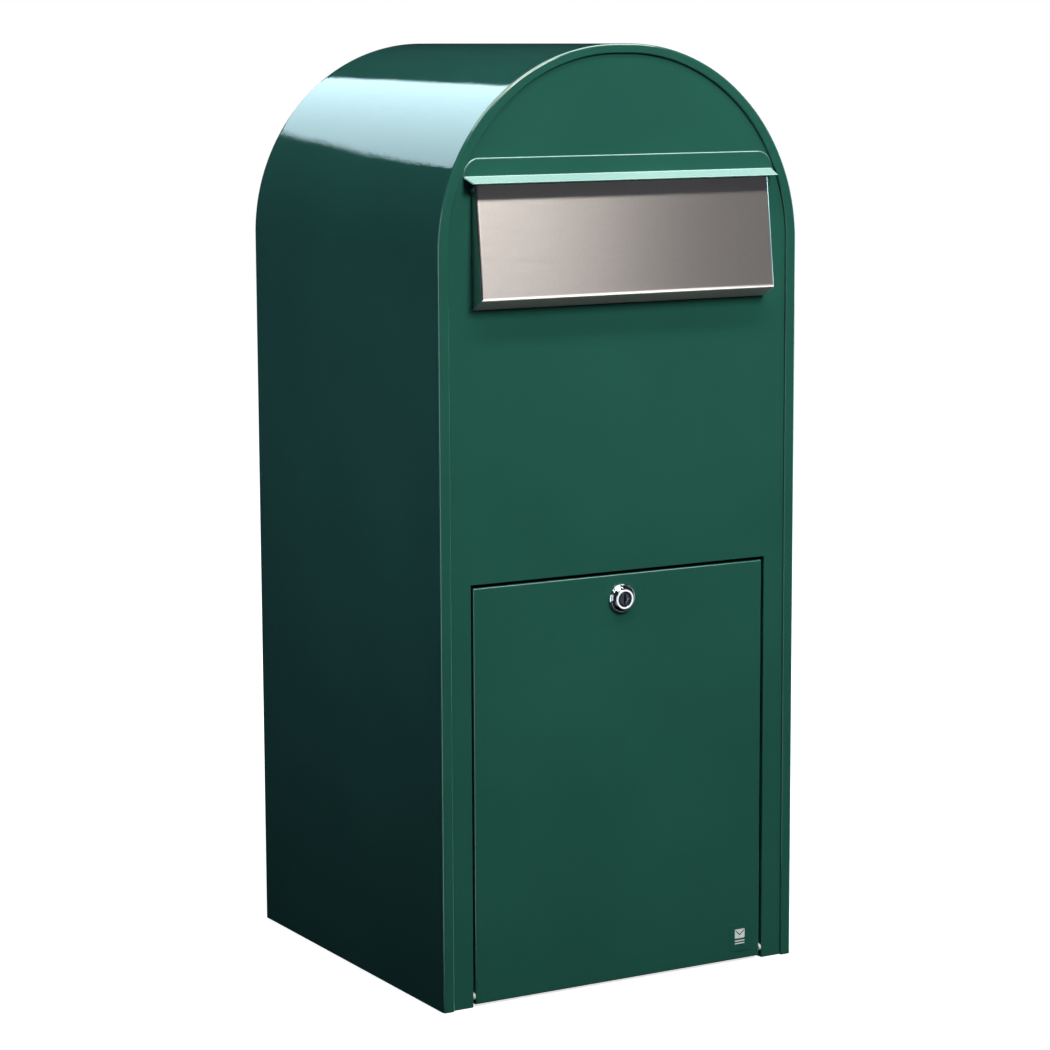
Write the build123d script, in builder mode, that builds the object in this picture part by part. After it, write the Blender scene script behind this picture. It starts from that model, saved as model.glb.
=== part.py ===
"""Round-top sheet-steel mailbox with a stainless letter flap and a drop-front door.

+X is the viewer's right when facing the box, -Y is the front, +Z is up.
The origin is the centre of the footprint on the ground. Units are millimetres.
Depths are given as a setback behind the plane of the front rim; a negative setback stands proud of it.
"""
import os

from build123d import *

# Body
WIDTH = 362.0
HEIGHT = 828.0
DEPTH = 358.0
ARCH_RADIUS = 174.0
SHEET = 1.25
PROUD = 16.0
RIM_Y = PROUD / 2 - DEPTH / 2

# Hemmed front rim and rear flange of the shell
HEM = 2 * SHEET
RIM_SIDE = 10.5
RIM_TOP = 8.0
RIM_ARCH_RADIUS = 165.0
RIM_BEND = 2.5
RIM_INNER_ROUND = 1.1
REAR_FLANGE = 14.0
REAR_BEND = 2.5
FIT_GAP = 0.15

# Front panel openings
PANEL_FRONT = HEM
PANEL_BACK = HEM + SHEET
SLOT_HALF_WIDTH = 140.0
SLOT_BOTTOM = 628.0
SLOT_TOP = 694.0
SLOT_CORNER = 6.0
OPENING_HALF_WIDTH = 150.5
OPENING_TOP = 372.0

# Visor
VISOR_HALF_WIDTH = 155.0
VISOR_TOP = 734.0
VISOR_FOLD_Z = 718.6
VISOR_LIP_SETBACK = -12.5
VISOR_LIP_Z = 713.4
VISOR_CORNER = 14.5
VISOR_BEND = 1.0
VISOR_LIP_TAPER = 2.2

# Letter flap
FLAP_SHEET = 1.0
FLAP_HALF_WIDTH = 147.5
FLAP_TOP = (-4.5, 711.5)
FLAP_NOSE = (-PROUD, 616.0)
FLAP_HEEL_Z = 606.5
FLAP_AXIS = (-0.8, 707.5)
FLAP_EYE_RADIUS = 2.9
FLAP_BEND = 2.6
FLAP_PIN_RADIUS = 1.5
RUNNING_CLEARANCE = 0.05
FLAP_LUG_X = (-120.0, 0.0, 120.0)
FLAP_LUG_THICKNESS = 3.0
PIN_HEAD_RADIUS = 2.4
PIN_HEAD_THICKNESS = 1.5
PIN_HEAD_GAP = 0.2

# Door
DOOR_HALF_WIDTH = 148.0
DOOR_BOTTOM = 2.0
DOOR_TOP = 369.0
DOOR_FOLD = 20.0
DOOR_LIP = 10.0
DOOR_BEND = 1.8
DOOR_RELIEF = 12.0

# Door hinge
HINGE_SETBACK = 6.2
HINGE_Z = 9.0
PIVOT_RADIUS = 1.5
PIVOT_HEAD_RADIUS = 2.4
PIVOT_HEAD_THICKNESS = 1.4
WASHER_RADIUS = 3.4
WASHER_GAP = 0.1

# Channels beside the opening and the header above it
JAMB_FLANGE = 15.0
JAMB_STOP_SETBACK = 25.25
JAMB_STOP_WIDTH = 9.0
JAMB_NOTCH = 20.0
FOLD_RADIUS = 2.0
HEADER_DEPTH = 14.0
HEADER_FLANGE = 15.0
STRIKE_SHEET = 2.0
STRIKE_WIDTH = 60.0
STRIKE_START = 10.0
STRIKE_BACK = 22.5
STRIKE_TOP = 392.0

# Rubber buffers
BUFFER_RADIUS = 3.0
BUFFER_INSET = 5.2
BUFFER_GAP = 0.25
BUFFER_HEIGHTS = (90.0, 310.0)

# Cam lock
LOCK_Z = 347.5
BEZEL_RADIUS = 13.0
BEZEL_FRONT = -0.5
BEZEL_ROUND = 1.2
RING_RADIUS = 9.0
RING_FRONT = -4.2
RING_ROUND = 0.8
BARREL_RADIUS = 9.5
BARREL_FLATS = 16.0
BARREL_END = 23.0
PLUG_RADIUS = 6.0
PLUG_FRONT = -3.8
KEYWAY_WIDTH = 1.6
KEYWAY_HEIGHT = 7.4
KEYWAY_DEPTH = 18.0
NUT_FLATS = 24.0
NUT_THICKNESS = 5.0
DRIVE_SQUARE = 7.0
CAM_START = 23.6
CAM_THICKNESS = 2.5
CAM_REACH = 36.0
CAM_WIDTH = 16.0
CAM_TIP_RADIUS = 5.0
SCREW_RADIUS = 2.5
SCREW_LENGTH = 8.0
SCREW_HEAD_RADIUS = 4.6
SCREW_HEAD_THICKNESS = 3.0
CAM_WASHER_RADIUS = 6.5
CAM_WASHER_THICKNESS = 1.0

# Floor and back
FLOOR_START = 27.5
FLOOR_FLANGE = 16.0
FLOOR_BOLTS = (240.0, 200.0)
FLOOR_BOLT_RADIUS = 4.5
DRAIN_SPACING = (300.0, 270.0)
DRAIN_RADIUS = 2.5
FLOOR_CENTRE = 190.0
WALL_BOLTS = (220.0, 480.0)
WALL_BOLT_RADIUS = 4.25
WALL_BOLTS_Z = 400.0

# Badge plate
BADGE_CENTRE = (126.5, 23.0)
BADGE_SIZE = (21.0, 26.0)
BADGE_CORNER = 3.0
BADGE_THICKNESS = 0.4


def front_plane(setback):
    """Plane parallel to the front, with local x along X, local y along Z and its normal towards the viewer."""
    return Plane.XZ.offset(-(RIM_Y + setback))


def side_plane(x):
    """Plane at the given X, with local x along Y and local y along Z."""
    return Plane.YZ.offset(x)


def yz(setback, z):
    """Point of a side plane given by its setback behind the rim."""
    return (RIM_Y + setback, z)


def arch(width, height, radius):
    """Adds a face that is flat at the bottom and rounded at the top, standing on z = 0."""
    outline = Rectangle(width, height, align=(Align.CENTER, Align.MIN))
    fillet(outline.vertices().group_by(Axis.Y)[-1], radius)


def arch_inset(inset):
    """Adds the outline of the body moved inwards by the same amount all round except at the bottom."""
    arch(WIDTH - 2 * inset, HEIGHT - inset, ARCH_RADIUS - inset)


def folded_profile(points, side, radius=FOLD_RADIUS, thickness=SHEET):
    """Adds the section of a sheet folded along the points, with its thickness on the given side."""
    with BuildLine() as section:
        FilletPolyline(*points, radius=radius)
        offset(amount=thickness, side=side)
    make_face(section.line)


def save(part, name):
    """Labels a finished piece and writes it to its own file."""
    part.label = name
    export_step(part, f"parts/{name}.step")


def make_shell():
    """Left side, arch and right side in one sheet, hemmed at the front and flanged at the back."""
    with BuildPart() as shell:
        with BuildSketch(front_plane(0)):
            arch_inset(0)
        extrude(amount=-DEPTH)
        front_edges = shell.faces().sort_by(Axis.Y)[0].edges()
        fillet(front_edges.sort_by(Axis.Z)[1:], RIM_BEND)
        rear_edges = shell.faces().sort_by(Axis.Y)[-1].edges()
        fillet(rear_edges.sort_by(Axis.Z)[1:], REAR_BEND)
        with BuildSketch(front_plane(HEM)):
            arch_inset(SHEET)
        extrude(amount=-(DEPTH - HEM - SHEET), mode=Mode.SUBTRACT)
        with BuildSketch(front_plane(0)):
            arch(WIDTH - 2 * RIM_SIDE, HEIGHT - RIM_TOP, RIM_ARCH_RADIUS)
        extrude(amount=-HEM, mode=Mode.SUBTRACT)
        opening_edges = shell.edges(Select.LAST).group_by(Axis.Y)[0]
        fillet(opening_edges.filter_by(lambda edge: edge.length > RIM_SIDE), RIM_INNER_ROUND)
        with BuildSketch(front_plane(DEPTH - SHEET)):
            arch_inset(REAR_FLANGE)
        extrude(amount=-SHEET, mode=Mode.SUBTRACT)
    save(shell.part, "shell")


def make_back_panel():
    """Flat arched sheet inside the rear flange, with four wall-fixing holes."""
    with BuildPart() as back_panel:
        with BuildSketch(front_plane(DEPTH - 2 * SHEET)):
            arch_inset(SHEET + FIT_GAP)
            with Locations((0, WALL_BOLTS_Z)):
                with GridLocations(WALL_BOLTS[0], WALL_BOLTS[1], 2, 2):
                    Circle(WALL_BOLT_RADIUS, mode=Mode.SUBTRACT)
        extrude(amount=-SHEET)
    save(back_panel.part, "back_panel")


def make_floor_panel():
    """Tray with four upturned sides, ground-fixing holes and drain holes."""
    width = WIDTH - 2 * (SHEET + FIT_GAP)
    depth = DEPTH - 2 * SHEET - FIT_GAP - FLOOR_START
    centre_y = RIM_Y + FLOOR_START + depth / 2
    with BuildPart() as floor_panel:
        with BuildSketch(Plane.XY):
            with Locations((0, centre_y)):
                Rectangle(width, depth)
        extrude(amount=FLOOR_FLANGE)
        fillet(floor_panel.edges().group_by(Axis.Z)[0], FOLD_RADIUS)
        with BuildSketch(Plane.XY.offset(SHEET)):
            with Locations((0, centre_y)):
                Rectangle(width - 2 * SHEET, depth - 2 * SHEET)
        extrude(amount=FLOOR_FLANGE, mode=Mode.SUBTRACT)
        with BuildSketch(Plane.XY):
            with Locations((0, RIM_Y + FLOOR_CENTRE)):
                with GridLocations(FLOOR_BOLTS[0], FLOOR_BOLTS[1], 2, 2):
                    Circle(FLOOR_BOLT_RADIUS)
                with GridLocations(DRAIN_SPACING[0], DRAIN_SPACING[1], 2, 2):
                    Circle(DRAIN_RADIUS)
        extrude(amount=SHEET, mode=Mode.SUBTRACT)
    save(floor_panel.part, "floor_panel")


def make_front_panel():
    """Flat sheet behind the rim, cut out for the letter slot and for the door."""
    with BuildPart() as front_panel:
        with BuildSketch(front_plane(PANEL_FRONT)):
            arch_inset(SHEET + FIT_GAP)
            with Locations((0, (SLOT_BOTTOM + SLOT_TOP) / 2)):
                RectangleRounded(2 * SLOT_HALF_WIDTH, SLOT_TOP - SLOT_BOTTOM, SLOT_CORNER, mode=Mode.SUBTRACT)
            Rectangle(
                2 * OPENING_HALF_WIDTH, OPENING_TOP, align=(Align.CENTER, Align.MIN), mode=Mode.SUBTRACT
            )
        extrude(amount=-SHEET)
    save(front_panel.part, "front_panel")


def make_visor():
    """Rain lip: an upright flange on the panel with rounded corners and a lip that slopes outwards."""
    with BuildPart() as visor:
        with BuildSketch(side_plane(-VISOR_HALF_WIDTH)):
            folded_profile(
                [
                    yz(PANEL_FRONT - SHEET, VISOR_TOP),
                    yz(PANEL_FRONT - SHEET, VISOR_FOLD_Z),
                    yz(VISOR_LIP_SETBACK, VISOR_LIP_Z),
                ],
                Side.LEFT,
                radius=VISOR_BEND,
            )
        extrude(amount=2 * VISOR_HALF_WIDTH)
        fillet(visor.edges().filter_by(Axis.Y).group_by(Axis.Z)[-1], VISOR_CORNER)
        # The lip narrows towards its edge at both ends
        fold_y = RIM_Y + PANEL_FRONT - SHEET - VISOR_BEND
        edge_y = RIM_Y + VISOR_LIP_SETBACK
        for side in (-1, 1):
            with BuildSketch(Plane.XY.offset(VISOR_LIP_Z - 5)):
                Polygon(
                    (side * VISOR_HALF_WIDTH, fold_y),
                    (side * (VISOR_HALF_WIDTH - VISOR_LIP_TAPER), edge_y),
                    (side * (VISOR_HALF_WIDTH - VISOR_LIP_TAPER), edge_y - 5),
                    (side * (VISOR_HALF_WIDTH + 5), edge_y - 5),
                    (side * (VISOR_HALF_WIDTH + 5), fold_y),
                    align=None,
                )
            extrude(amount=VISOR_FOLD_Z - VISOR_LIP_Z + 10, mode=Mode.SUBTRACT)
    save(visor.part, "visor")


def flap_side_face():
    """Adds the outline of one side of the flap, with an eye about the hinge axis at its upper rear corner."""
    eye = yz(*FLAP_AXIS)
    heel_y = eye[0] + FLAP_EYE_RADIUS
    with BuildLine() as outline:
        Polyline(
            (eye[0], eye[1] + FLAP_EYE_RADIUS),
            yz(*FLAP_TOP),
            yz(*FLAP_NOSE),
            (heel_y, FLAP_HEEL_Z),
            (heel_y, eye[1]),
        )
        CenterArc(eye, FLAP_EYE_RADIUS, 0, 90)
    make_face(outline.line)


def make_flap():
    """Stainless cover folded on its sides and bottom, open at the back towards the slot."""
    slope = (FLAP_TOP[0] - FLAP_NOSE[0]) / (FLAP_TOP[1] - FLAP_NOSE[1])
    floor_slope = (FLAP_NOSE[1] - FLAP_HEEL_Z) / (FLAP_AXIS[0] + FLAP_EYE_RADIUS - FLAP_NOSE[0])
    reach = 10.0
    inner_top = yz(FLAP_TOP[0] + FLAP_SHEET + reach * slope, FLAP_TOP[1] + reach)
    inner_nose_z = FLAP_NOSE[1] + FLAP_SHEET * (1 - floor_slope)
    inner_nose = yz(FLAP_NOSE[0] + FLAP_SHEET * (1 + slope), inner_nose_z)
    inner_heel = yz(reach, inner_nose_z - floor_slope * (reach - FLAP_NOSE[0] - FLAP_SHEET))
    with BuildPart() as flap:
        with BuildSketch(side_plane(-FLAP_HALF_WIDTH)):
            flap_side_face()
        extrude(amount=2 * FLAP_HALF_WIDTH)
        front_edges = flap.faces().sort_by(Axis.Y)[0].edges().sort_by(Axis.Z)[:-1]
        fillet(front_edges, FLAP_BEND)
        with BuildSketch(side_plane(FLAP_SHEET - FLAP_HALF_WIDTH)):
            with BuildLine():
                Polyline(inner_top, inner_nose, inner_heel, yz(reach, FLAP_TOP[1] + reach), close=True)
            make_face()
        extrude(amount=2 * (FLAP_HALF_WIDTH - FLAP_SHEET), mode=Mode.SUBTRACT)
        with BuildSketch(side_plane(-FLAP_HALF_WIDTH)):
            with Locations(yz(*FLAP_AXIS)):
                Circle(FLAP_PIN_RADIUS + RUNNING_CLEARANCE)
        extrude(amount=2 * FLAP_HALF_WIDTH, mode=Mode.SUBTRACT)
    save(flap.part, "flap")


def make_flap_hinge():
    """Rod with a formed head, its push-on cap, and the three lugs on the panel that hold the rod."""
    head_x = FLAP_HALF_WIDTH + PIN_HEAD_GAP
    with BuildPart() as pin:
        with BuildSketch(side_plane(-head_x)):
            with Locations(yz(*FLAP_AXIS)):
                Circle(FLAP_PIN_RADIUS)
        extrude(amount=2 * head_x + PIN_HEAD_THICKNESS)
        with BuildSketch(side_plane(-head_x - PIN_HEAD_THICKNESS)):
            with Locations(yz(*FLAP_AXIS)):
                Circle(PIN_HEAD_RADIUS)
        extrude(amount=PIN_HEAD_THICKNESS)
        fillet(pin.faces().sort_by(Axis.X)[0].edges(), PIN_HEAD_THICKNESS / 2)
    save(pin.part, "flap_pin")

    with BuildPart() as cap:
        with BuildSketch(side_plane(head_x)):
            with Locations(yz(*FLAP_AXIS)):
                Circle(PIN_HEAD_RADIUS)
                Circle(FLAP_PIN_RADIUS, mode=Mode.SUBTRACT)
        extrude(amount=PIN_HEAD_THICKNESS)
    save(cap.part, "flap_pin_cap")

    with BuildPart() as lugs:
        for x in FLAP_LUG_X:
            with BuildSketch(side_plane(x - FLAP_LUG_THICKNESS / 2)):
                with Locations(yz(*FLAP_AXIS)):
                    Circle(FLAP_EYE_RADIUS)
                    Rectangle(
                        PANEL_FRONT - FLAP_AXIS[0], 2 * FLAP_EYE_RADIUS, align=(Align.MIN, Align.CENTER)
                    )
                    Circle(FLAP_PIN_RADIUS, mode=Mode.SUBTRACT)
            extrude(amount=FLAP_LUG_THICKNESS)
    save(lugs.part, "flap_lugs")


def double_d(radius, flats):
    """Adds a round face with two flats, upright."""
    Circle(radius)
    Rectangle(flats, 2 * radius, mode=Mode.INTERSECT)


def make_door():
    """Folded tray with a return lip, the lock hole and two pivot holes."""
    width = 2 * DOOR_HALF_WIDTH
    height = DOOR_TOP - DOOR_BOTTOM
    centre = (0, (DOOR_TOP + DOOR_BOTTOM) / 2)
    back = PANEL_FRONT + DOOR_FOLD
    with BuildPart() as door:
        with BuildSketch(front_plane(PANEL_FRONT)):
            with Locations(centre):
                Rectangle(width, height)
        extrude(amount=-DOOR_FOLD)
        fillet(door.faces().sort_by(Axis.Y)[0].edges(), DOOR_BEND)
        with BuildSketch(front_plane(PANEL_FRONT + SHEET)):
            with Locations(centre):
                Rectangle(width - 2 * SHEET, height - 2 * SHEET)
        extrude(amount=-(DOOR_FOLD - 2 * SHEET), mode=Mode.SUBTRACT)
        with BuildSketch(front_plane(back - SHEET)):
            with Locations(centre):
                Rectangle(width - 2 * DOOR_LIP, height - 2 * DOOR_LIP)
        extrude(amount=-SHEET, mode=Mode.SUBTRACT)
        with BuildSketch(side_plane(-DOOR_HALF_WIDTH)):
            with BuildLine():
                Polyline(
                    yz(PANEL_FRONT + DOOR_RELIEF, DOOR_BOTTOM),
                    yz(PANEL_FRONT + DOOR_RELIEF, DOOR_BOTTOM + DOOR_RELIEF),
                    yz(back, DOOR_BOTTOM + 2 * DOOR_RELIEF),
                    yz(back, DOOR_BOTTOM),
                    close=True,
                )
            make_face()
        extrude(amount=width, mode=Mode.SUBTRACT)
        with BuildSketch(side_plane(-DOOR_HALF_WIDTH)):
            with Locations(yz(HINGE_SETBACK, HINGE_Z)):
                Circle(PIVOT_RADIUS + RUNNING_CLEARANCE)
        extrude(amount=width, mode=Mode.SUBTRACT)
        with BuildSketch(front_plane(PANEL_FRONT)):
            with Locations((0, LOCK_Z)):
                double_d(BARREL_RADIUS, BARREL_FLATS)
        extrude(amount=-SHEET, mode=Mode.SUBTRACT)
    save(door.part, "door")


def make_door_pivots():
    """Riveted pivots through the channels and the door's sides, with a spacing washer on each."""
    door_inner = DOOR_HALF_WIDTH - SHEET - WASHER_GAP
    jamb_outer = OPENING_HALF_WIDTH + SHEET
    with BuildPart() as pivots:
        with BuildSketch(side_plane(door_inner)):
            with Locations(yz(HINGE_SETBACK, HINGE_Z)):
                Circle(PIVOT_RADIUS)
        extrude(amount=jamb_outer - door_inner)
        for start in (door_inner - PIVOT_HEAD_THICKNESS, jamb_outer):
            with BuildSketch(side_plane(start)):
                with Locations(yz(HINGE_SETBACK, HINGE_Z)):
                    Circle(PIVOT_HEAD_RADIUS)
            extrude(amount=PIVOT_HEAD_THICKNESS)
        mirror(about=Plane.YZ)
    save(pivots.part, "pivot_pins")

    with BuildPart() as washers:
        with BuildSketch(side_plane(DOOR_HALF_WIDTH + WASHER_GAP)):
            with Locations(yz(HINGE_SETBACK, HINGE_Z)):
                Circle(WASHER_RADIUS)
                Circle(PIVOT_RADIUS, mode=Mode.SUBTRACT)
        extrude(amount=OPENING_HALF_WIDTH - DOOR_HALF_WIDTH - WASHER_GAP)
        mirror(about=Plane.YZ)
    save(washers.part, "pivot_washers")


def make_jamb(name, sign):
    """Channel welded behind the panel beside the opening, ending in the stop lip that the door closes on."""
    edge = sign * OPENING_HALF_WIDTH
    stop_y = RIM_Y + JAMB_STOP_SETBACK
    side = Side.RIGHT if sign > 0 else Side.LEFT
    with BuildPart() as jamb:
        with BuildSketch(Plane.XY):
            folded_profile(
                [
                    (edge + sign * JAMB_FLANGE, RIM_Y + PANEL_BACK),
                    (edge, RIM_Y + PANEL_BACK),
                    (edge, stop_y),
                    (edge - sign * JAMB_STOP_WIDTH, stop_y),
                ],
                side,
            )
        extrude(amount=OPENING_TOP)
        with BuildSketch(Plane.XY):
            with Locations((edge + sign * (SHEET + JAMB_FLANGE / 2), RIM_Y + PANEL_BACK)):
                Rectangle(JAMB_FLANGE, 2 * PIVOT_HEAD_RADIUS + PANEL_BACK)
        extrude(amount=JAMB_NOTCH, mode=Mode.SUBTRACT)
        with BuildSketch(side_plane(edge)):
            with Locations(yz(HINGE_SETBACK, HINGE_Z)):
                Circle(PIVOT_RADIUS)
        extrude(amount=sign * SHEET, mode=Mode.SUBTRACT)
    save(jamb.part, name)


def make_header_and_strike():
    """Angle welded behind the panel above the opening, and the catch plate that stands on it."""
    half_width = OPENING_HALF_WIDTH + JAMB_FLANGE
    with BuildPart() as header:
        with BuildSketch(side_plane(-half_width)):
            folded_profile(
                [
                    yz(PANEL_BACK, OPENING_TOP + HEADER_FLANGE),
                    yz(PANEL_BACK, OPENING_TOP),
                    yz(PANEL_BACK + HEADER_DEPTH, OPENING_TOP),
                ],
                Side.LEFT,
            )
        extrude(amount=2 * half_width)
    save(header.part, "header")

    with BuildPart() as strike:
        with BuildSketch(side_plane(-STRIKE_WIDTH / 2)):
            folded_profile(
                [
                    yz(STRIKE_START, OPENING_TOP + SHEET),
                    yz(STRIKE_BACK, OPENING_TOP + SHEET),
                    yz(STRIKE_BACK, STRIKE_TOP),
                ],
                Side.LEFT,
                radius=STRIKE_SHEET + FOLD_RADIUS / 2,
                thickness=STRIKE_SHEET,
            )
        extrude(amount=STRIKE_WIDTH)
        fillet(strike.edges().filter_by(Axis.Y).group_by(Axis.Z)[-1], FOLD_RADIUS)
    save(strike.part, "strike")


def make_door_buffers():
    """Rubber pads on the stop lips, just behind the closed door."""
    front = PANEL_FRONT + DOOR_FOLD + BUFFER_GAP
    spacing_x = 2 * (OPENING_HALF_WIDTH - BUFFER_INSET)
    spacing_z = BUFFER_HEIGHTS[1] - BUFFER_HEIGHTS[0]
    with BuildPart() as buffers:
        with BuildSketch(front_plane(front)):
            with Locations((0, sum(BUFFER_HEIGHTS) / 2)):
                with GridLocations(spacing_x, spacing_z, 2, 2):
                    Circle(BUFFER_RADIUS)
        extrude(amount=-(JAMB_STOP_SETBACK - front))
    save(buffers.part, "door_buffers")


def lock_plane(setback):
    """Front plane with its origin on the lock's axis."""
    return Plane(origin=(0, RIM_Y + setback, LOCK_Z), x_dir=(1, 0, 0), z_dir=(0, -1, 0))


def make_lock():
    """Cam lock: housing and nut fixed to the door, and a plug that turns the cam."""
    bore = PLUG_RADIUS + RUNNING_CLEARANCE
    with BuildPart() as housing:
        with BuildSketch(lock_plane(PANEL_FRONT)):
            Circle(BEZEL_RADIUS)
        extrude(amount=PANEL_FRONT - BEZEL_FRONT)
        fillet(housing.faces().sort_by(Axis.Y)[0].edges(), BEZEL_ROUND)
        with BuildSketch(lock_plane(BEZEL_FRONT)):
            Circle(RING_RADIUS)
        extrude(amount=BEZEL_FRONT - RING_FRONT)
        fillet(housing.faces().sort_by(Axis.Y)[0].edges(), RING_ROUND)
        with BuildSketch(lock_plane(PANEL_FRONT)):
            double_d(BARREL_RADIUS, BARREL_FLATS)
        extrude(amount=-(BARREL_END - PANEL_FRONT))
        with BuildSketch(lock_plane(RING_FRONT)):
            Circle(bore)
        extrude(amount=-(BARREL_END - RING_FRONT), mode=Mode.SUBTRACT)
    save(housing.part, "lock_housing")

    with BuildPart() as nut:
        with BuildSketch(lock_plane(PANEL_BACK)):
            RegularPolygon(NUT_FLATS / 2, 6, major_radius=False)
            Circle(BARREL_RADIUS, mode=Mode.SUBTRACT)
        extrude(amount=-NUT_THICKNESS)
    save(nut.part, "lock_nut")

    with BuildPart() as plug:
        with BuildSketch(lock_plane(PLUG_FRONT)):
            Circle(PLUG_RADIUS)
        extrude(amount=-(CAM_START - PLUG_FRONT))
        with BuildSketch(lock_plane(CAM_START)):
            Rectangle(DRIVE_SQUARE, DRIVE_SQUARE)
        extrude(amount=-CAM_THICKNESS)
        with BuildSketch(lock_plane(PLUG_FRONT)):
            Rectangle(KEYWAY_WIDTH, KEYWAY_HEIGHT)
        extrude(amount=-KEYWAY_DEPTH, mode=Mode.SUBTRACT)
        with BuildSketch(lock_plane(CAM_START + CAM_THICKNESS)):
            Circle(SCREW_RADIUS)
        extrude(amount=SCREW_LENGTH, mode=Mode.SUBTRACT)
    save(plug.part, "lock_plug")

    with BuildPart() as cam:
        with BuildSketch(lock_plane(CAM_START)):
            Circle(CAM_WIDTH / 2)
            with Locations((CAM_TIP_RADIUS - CAM_REACH, 0)):
                Circle(CAM_TIP_RADIUS)
            make_hull()
            Rectangle(DRIVE_SQUARE, DRIVE_SQUARE, mode=Mode.SUBTRACT)
        extrude(amount=-CAM_THICKNESS)
    save(cam.part, "lock_cam")

    cam_back = CAM_START + CAM_THICKNESS
    with BuildPart() as screw:
        with BuildSketch(lock_plane(cam_back)):
            Circle(CAM_WASHER_RADIUS)
        extrude(amount=-CAM_WASHER_THICKNESS)
        with BuildSketch(lock_plane(cam_back + CAM_WASHER_THICKNESS)):
            Circle(SCREW_HEAD_RADIUS)
        extrude(amount=-SCREW_HEAD_THICKNESS)
        fillet(screw.faces().sort_by(Axis.Y)[-1].edges(), SCREW_HEAD_THICKNESS / 2)
        with BuildSketch(lock_plane(cam_back)):
            Circle(SCREW_RADIUS)
        extrude(amount=SCREW_LENGTH)
    save(screw.part, "lock_cam_screw")


def make_badge():
    """Small plate with rounded corners on the lower right of the door."""
    with BuildPart() as badge:
        with BuildSketch(front_plane(PANEL_FRONT)):
            with Locations(BADGE_CENTRE):
                RectangleRounded(BADGE_SIZE[0], BADGE_SIZE[1], BADGE_CORNER)
        extrude(amount=BADGE_THICKNESS)
    save(badge.part, "badge")


os.makedirs("parts", exist_ok=True)
make_shell()
make_back_panel()
make_floor_panel()
make_front_panel()
make_visor()
make_flap()
make_flap_hinge()
make_door()
make_door_pivots()
make_jamb("jamb_left", -1)
make_jamb("jamb_right", 1)
make_header_and_strike()
make_door_buffers()
make_lock()
make_badge()
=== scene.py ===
"""Looks of the round-top mailbox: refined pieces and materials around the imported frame, with its studio.

Lengths in the constants are millimetres. Setbacks are depths behind the plane of the front rim.
"""
import math

import bmesh
import bpy
from mathutils import Matrix, Vector


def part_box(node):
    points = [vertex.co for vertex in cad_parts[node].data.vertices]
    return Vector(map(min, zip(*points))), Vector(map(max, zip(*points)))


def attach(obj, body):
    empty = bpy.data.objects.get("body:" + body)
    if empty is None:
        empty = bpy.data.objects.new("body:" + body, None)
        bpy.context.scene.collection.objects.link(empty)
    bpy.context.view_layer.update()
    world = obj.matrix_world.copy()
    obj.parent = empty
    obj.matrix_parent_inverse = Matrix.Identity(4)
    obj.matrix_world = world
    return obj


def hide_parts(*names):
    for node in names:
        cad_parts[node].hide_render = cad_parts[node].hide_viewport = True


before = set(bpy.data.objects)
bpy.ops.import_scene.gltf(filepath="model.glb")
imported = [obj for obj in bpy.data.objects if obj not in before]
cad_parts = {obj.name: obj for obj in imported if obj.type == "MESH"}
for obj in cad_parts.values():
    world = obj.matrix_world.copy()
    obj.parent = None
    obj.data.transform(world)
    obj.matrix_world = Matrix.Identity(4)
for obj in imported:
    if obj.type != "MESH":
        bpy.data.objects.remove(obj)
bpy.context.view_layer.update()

MM = 0.001
CUT_OVERSHOOT = 5.0
shell_low, shell_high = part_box("shell")
RIM_Y = shell_low.y / MM
WIDTH = (shell_high.x - shell_low.x) / MM
HEIGHT = shell_high.z / MM
DEPTH = (shell_high.y - shell_low.y) / MM

# Body
ARCH_RADIUS = 174.0
SHEET = 1.25
HEM = 2.5
HEM_CHAMFER = 0.2
RIM_SIDE = 10.5
RIM_TOP = 8.0
RIM_RADIUS_STEP = 9.0
RIM_BEND = 2.5
RIM_INNER_ROUND = 1.1
REAR_FLANGE = 14.0
REAR_BEND = 2.5
FLAT_BESIDE_BEND = 2.0
FLAT_BESIDE_EDGE = 1.0
FLAT_BESIDE_RIM = 0.8
BODY_LINES = (300.0, 240.0, 180.0, 120.0, 60.0, 20.0)
SIDE_STEPS = 17
ARCH_STEPS = 72
FIT_GAP = 0.15

# Panel
PANEL_FRONT = 2.5
SLOT_HALF_WIDTH = 140.0
SLOT_BOTTOM = 628.0
SLOT_TOP = 694.0
SLOT_CORNER = 6.0
OPENING_HALF_WIDTH = 150.5
OPENING_TOP = 372.0
PANEL_EDGE_ROUND = 0.3

# Visor
VISOR_HALF_WIDTH = 155.0
VISOR_TOP = 734.0
VISOR_FOLD_Z = 718.6
VISOR_LIP_SETBACK = -12.5
VISOR_LIP_Z = 713.4
VISOR_CORNER = 14.5
VISOR_BEND = 0.8
VISOR_LIP_TAPER = 2.2
VISOR_EDGE_ROUND = 0.95
VISOR_TOP_DROPS = (0.0, 0.02, 0.08, 0.2, 0.4, 0.65, 1.0)
VISOR_LIP_SHARES = (0.1, 0.5, 0.9, 1.0)
VISOR_SIDE_OFFSETS = (0.0, 0.03, 0.1, 0.25, 0.45, 0.7, 1.0, 1.5)
VISOR_SIDE_STRIP = 3.0

# Flap
FLAP_SHEET = 1.0
FLAP_HALF_WIDTH = 147.5
FLAP_TOP = (-4.5, 711.5)
FLAP_NOSE = (-16.0, 616.0)
FLAP_HEEL_Z = 606.5
FLAP_AXIS = (-0.8, 707.5)
FLAP_EYE_RADIUS = 2.9
FLAP_BEND = 2.6
FLAP_EDGE_ROUND = 0.14
FLAP_PIN_RADIUS = 1.55
FLAP_HOLLOW_REACH = 14.0

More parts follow.
